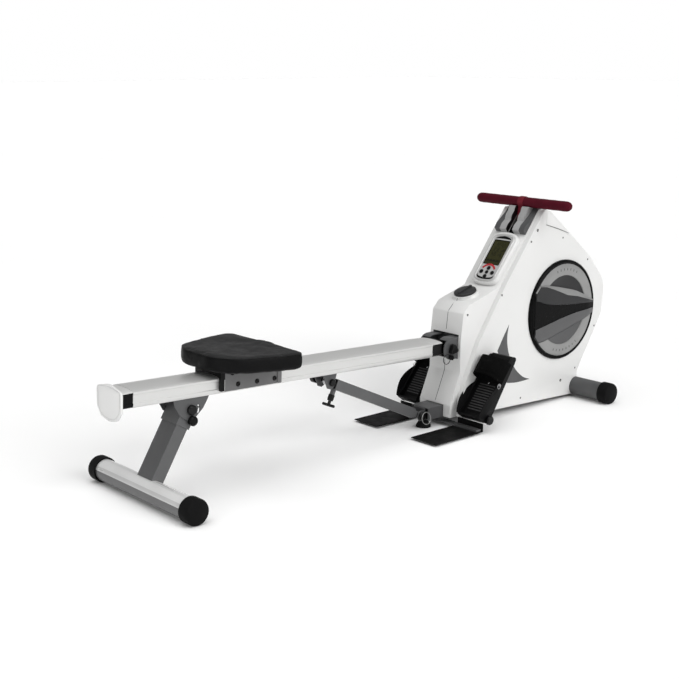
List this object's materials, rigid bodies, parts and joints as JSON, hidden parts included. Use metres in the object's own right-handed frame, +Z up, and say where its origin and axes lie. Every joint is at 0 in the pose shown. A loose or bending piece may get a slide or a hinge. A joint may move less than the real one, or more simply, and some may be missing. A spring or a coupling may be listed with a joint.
{
  "type": "folding magnetic rowing machine",
  "caption": "Folding home rowing machine: sliding seat on an aluminium rail, tilting pedals with straps, pull handle, console and an enclosed magnetic flywheel.",
  "frame": {"origin": "on the floor, at the centre of the overall length and width", "axes": "+X from the seat towards the flywheel casing, +Y to the user's left as they face the casing, +Z up"},
  "size_m": [2.137, 0.53, 0.77],
  "materials": {
    "white_plastic": "satin",
    "grey_paint": "satin",
    "aluminium": "satin anodised",
    "silver_plastic": "satin",
    "grey_plastic": "satin",
    "bright_steel": "brushed",
    "black_steel": "gloss",
    "black_plastic": "satin",
    "black_rubber": "matte",
    "black_vinyl": "satin vinyl over foam",
    "black_webbing": "woven",
    "burgundy_foam": "matte foam over a steel tube",
    "display_window": "gloss"
  },
  "bodies": {
    "frame": {"main_frame": "grey_paint", "front_stabilizer": "grey_paint", "front_end_cap_left": "black_rubber", "front_end_cap_right": "black_rubber", "levelling_foot": "black_rubber", "strut_pivot_bolt": "black_steel", "pedal_axle": "black_steel", "step_plate_left": "black_plastic", "step_plate_right": "black_plastic", "casing_left": "white_plastic", "casing_right": "white_plastic", "disc_cover_left": "silver_plastic", "disc_cover_right": "silver_plastic", "flywheel_axle": "bright_steel", "drive_belt": "black_rubber", "strap_inner": "black_webbing", "console_housing": "grey_plastic", "console_screen": "display_window", "handle_cradle": "grey_plastic", "hinge_bracket": "grey_paint", "hinge_bolt": "black_steel"},
    "flywheel": {"flywheel": "bright_steel"},
    "drive_pulley": {"drive_pulley": "black_plastic"},
    "strap_drum": {"strap_drum": "black_plastic"},
    "strap_roller": {"strap_roller": "black_plastic"},
    "magnet_arm": {"magnet_arm": "bright_steel"},
    "tension_knob": {"tension_knob": "silver_plastic"},
    "handle": {"handle_bar": "burgundy_foam", "strap_outer": "black_webbing"},
    "button_up": {"button_up": "black_plastic"},
    "button_down": {"button_down": "black_plastic"},
    "button_left": {"button_left": "black_plastic"},
    "button_right": {"button_right": "black_plastic"},
    "button_set": {"button_set": "black_plastic"},
    "lock_pin": {"lock_pin": "black_steel"},
    "pedal_left": {"pedal_left": "black_plastic", "pedal_strap_left": "black_webbing"},
    "pedal_right": {"pedal_right": "black_plastic", "pedal_strap_right": "black_webbing"},
    "rail": {"rail": "aluminium", "rail_stop_rear": "black_plastic", "rail_end_cap": "white_plastic", "rail_hinge_block": "black_plastic", "rear_leg_bracket": "grey_paint", "leg_pivot_bolt": "black_steel", "strut_bracket": "grey_paint", "strut_tongue": "bright_steel", "strut_bolt": "black_steel"},
    "leg_lock_knob": {"leg_lock_knob": "black_plastic"},
    "carriage": {"seat_carriage": "bright_steel", "seat_base": "black_plastic", "seat_pad": "black_vinyl"},
    "roller_front": {"seat_roller_front": "black_plastic"},
    "roller_rear": {"seat_roller_rear": "black_plastic"},
    "rear_leg": {"rear_leg": "grey_paint", "rear_stabilizer": "grey_paint", "rear_end_cap_left": "black_rubber", "rear_end_cap_right": "black_rubber"},
    "strut": {"strut": "grey_paint"},
    "pull_pin": {"pull_pin": "black_steel"}
  },
  "joints": [
    {"name": "rail_fold", "type": "hinge", "parent": "frame", "child": "rail", "pos_m": [0.2624, 0, 0.279], "axis": [0, 1, 0], "range_deg": [0, 80]},
    {"name": "seat_slide", "type": "slide", "parent": "rail", "child": "carriage", "axis": [0.9993, 0, -0.038], "range_m": [-0.28, 0.555]},
    {"name": "seat_roller_front_spin", "type": "hinge", "parent": "carriage", "child": "roller_front", "pos_m": [-0.54755, 0, 0.34831], "axis": [0, 1, 0], "range_deg": [-1900, 3760]},
    {"name": "seat_roller_rear_spin", "type": "hinge", "parent": "carriage", "child": "roller_rear", "pos_m": [-0.68345, 0, 0.35347], "axis": [0, 1, 0], "range_deg": [-1900, 3760]},
    {"name": "rear_leg_fold", "type": "hinge", "parent": "rail", "child": "rear_leg", "pos_m": [-0.8196, 0, 0.262], "axis": [0, -1, 0], "range_deg": [0, 100]},
    {"name": "leg_lock_pull", "type": "slide", "parent": "rail", "child": "leg_lock_knob", "axis": [0, -1, 0], "range_m": [0, 0.008], "stiffness_N_per_m": 400},
    {"name": "strut_fold", "type": "hinge", "parent": "frame", "child": "strut", "pos_m": [0.1544, 0, 0.0505], "axis": [0, -1, 0], "range_deg": [0, 19]},
    {"name": "pull_pin_slide", "type": "slide", "parent": "strut", "child": "pull_pin", "axis": [-0.4216, 0, -0.9068], "range_m": [0, 0.008], "stiffness_N_per_m": 500},
    {"name": "lock_pin_slide", "type": "slide", "parent": "frame", "child": "lock_pin", "axis": [0, -1, 0], "range_m": [0, 0.03]},
    {"name": "handle_pull", "type": "slide", "parent": "frame", "child": "handle", "axis": [-0.9511, 0, 0.309], "range_m": [0, 1.1], "stiffness_N_per_m": 15, "springref_m": -0.5},
    {"name": "strap_drum_spin", "type": "hinge", "parent": "frame", "child": "strap_drum", "pos_m": [0.5824, 0, 0.235], "axis": [0, -1, 0], "range_deg": [0, 2120]},
    {"name": "strap_roller_spin", "type": "hinge", "parent": "frame", "child": "strap_roller", "pos_m": [0.6544, 0, 0.648], "axis": [0, -1, 0], "range_deg": [0, 5300]},
    {"name": "flywheel_spin", "type": "hinge", "parent": "frame", "child": "flywheel", "pos_m": [0.8144, 0, 0.35], "axis": [0, -1, 0], "continuous": true},
    {"name": "drive_pulley_spin", "type": "hinge", "parent": "frame", "child": "drive_pulley", "pos_m": [0.5824, 0, 0.235], "axis": [0, -1, 0], "continuous": true},
    {"name": "tension_knob_turn", "type": "hinge", "parent": "frame", "child": "tension_knob", "pos_m": [0.3944, 0, 0.4435], "axis": [-0.2924, 0, 0.9563], "range_deg": [0, 270]},
    {"name": "magnet_arm_swing", "type": "hinge", "parent": "frame", "child": "magnet_arm", "pos_m": [0.8917, 0, 0.2088], "axis": [0, -1, 0], "range_deg": [0, 8]},
    {"name": "pedal_left_tilt", "type": "hinge", "parent": "frame", "child": "pedal_left", "pos_m": [0.3024, 0.15, 0.046], "axis": [0, 1, 0], "range_deg": [-8, 15]},
    {"name": "pedal_right_tilt", "type": "hinge", "parent": "frame", "child": "pedal_right", "pos_m": [0.3024, -0.15, 0.046], "axis": [0, 1, 0], "range_deg": [-8, 15]},
    {"name": "button_up_press", "type": "slide", "parent": "frame", "child": "button_up", "axis": [0.7842, 0, -0.6206], "range_m": [0, 0.0015], "stiffness_N_per_m": 300},
    {"name": "button_down_press", "type": "slide", "parent": "frame", "child": "button_down", "axis": [0.7842, 0, -0.6206], "range_m": [0, 0.0015], "stiffness_N_per_m": 300},
    {"name": "button_left_press", "type": "slide", "parent": "frame", "child": "button_left", "axis": [0.7842, 0, -0.6206], "range_m": [0, 0.0015], "stiffness_N_per_m": 300},
    {"name": "button_right_press", "type": "slide", "parent": "frame", "child": "button_right", "axis": [0.7842, 0, -0.6206], "range_m": [0, 0.0015], "stiffness_N_per_m": 300},
    {"name": "button_set_press", "type": "slide", "parent": "frame", "child": "button_set", "axis": [0.7842, 0, -0.6206], "range_m": [0, 0.0015], "stiffness_N_per_m": 300}
  ],
  "couplings": [
    {"joint": "seat_roller_front_spin", "follows": "seat_slide", "rad_per_m": 117.65},
    {"joint": "seat_roller_rear_spin", "follows": "seat_slide", "rad_per_m": 117.65},
    {"joint": "strap_drum_spin", "follows": "handle_pull", "rad_per_m": 33.333},
    {"joint": "strap_roller_spin", "follows": "handle_pull", "rad_per_m": 81.967},
    {"joint": "drive_pulley_spin", "follows": "flywheel_spin", "ratio": 0.26667},
    {"joint": "magnet_arm_swing", "follows": "tension_knob_turn", "ratio": 0.0296}
  ]
}
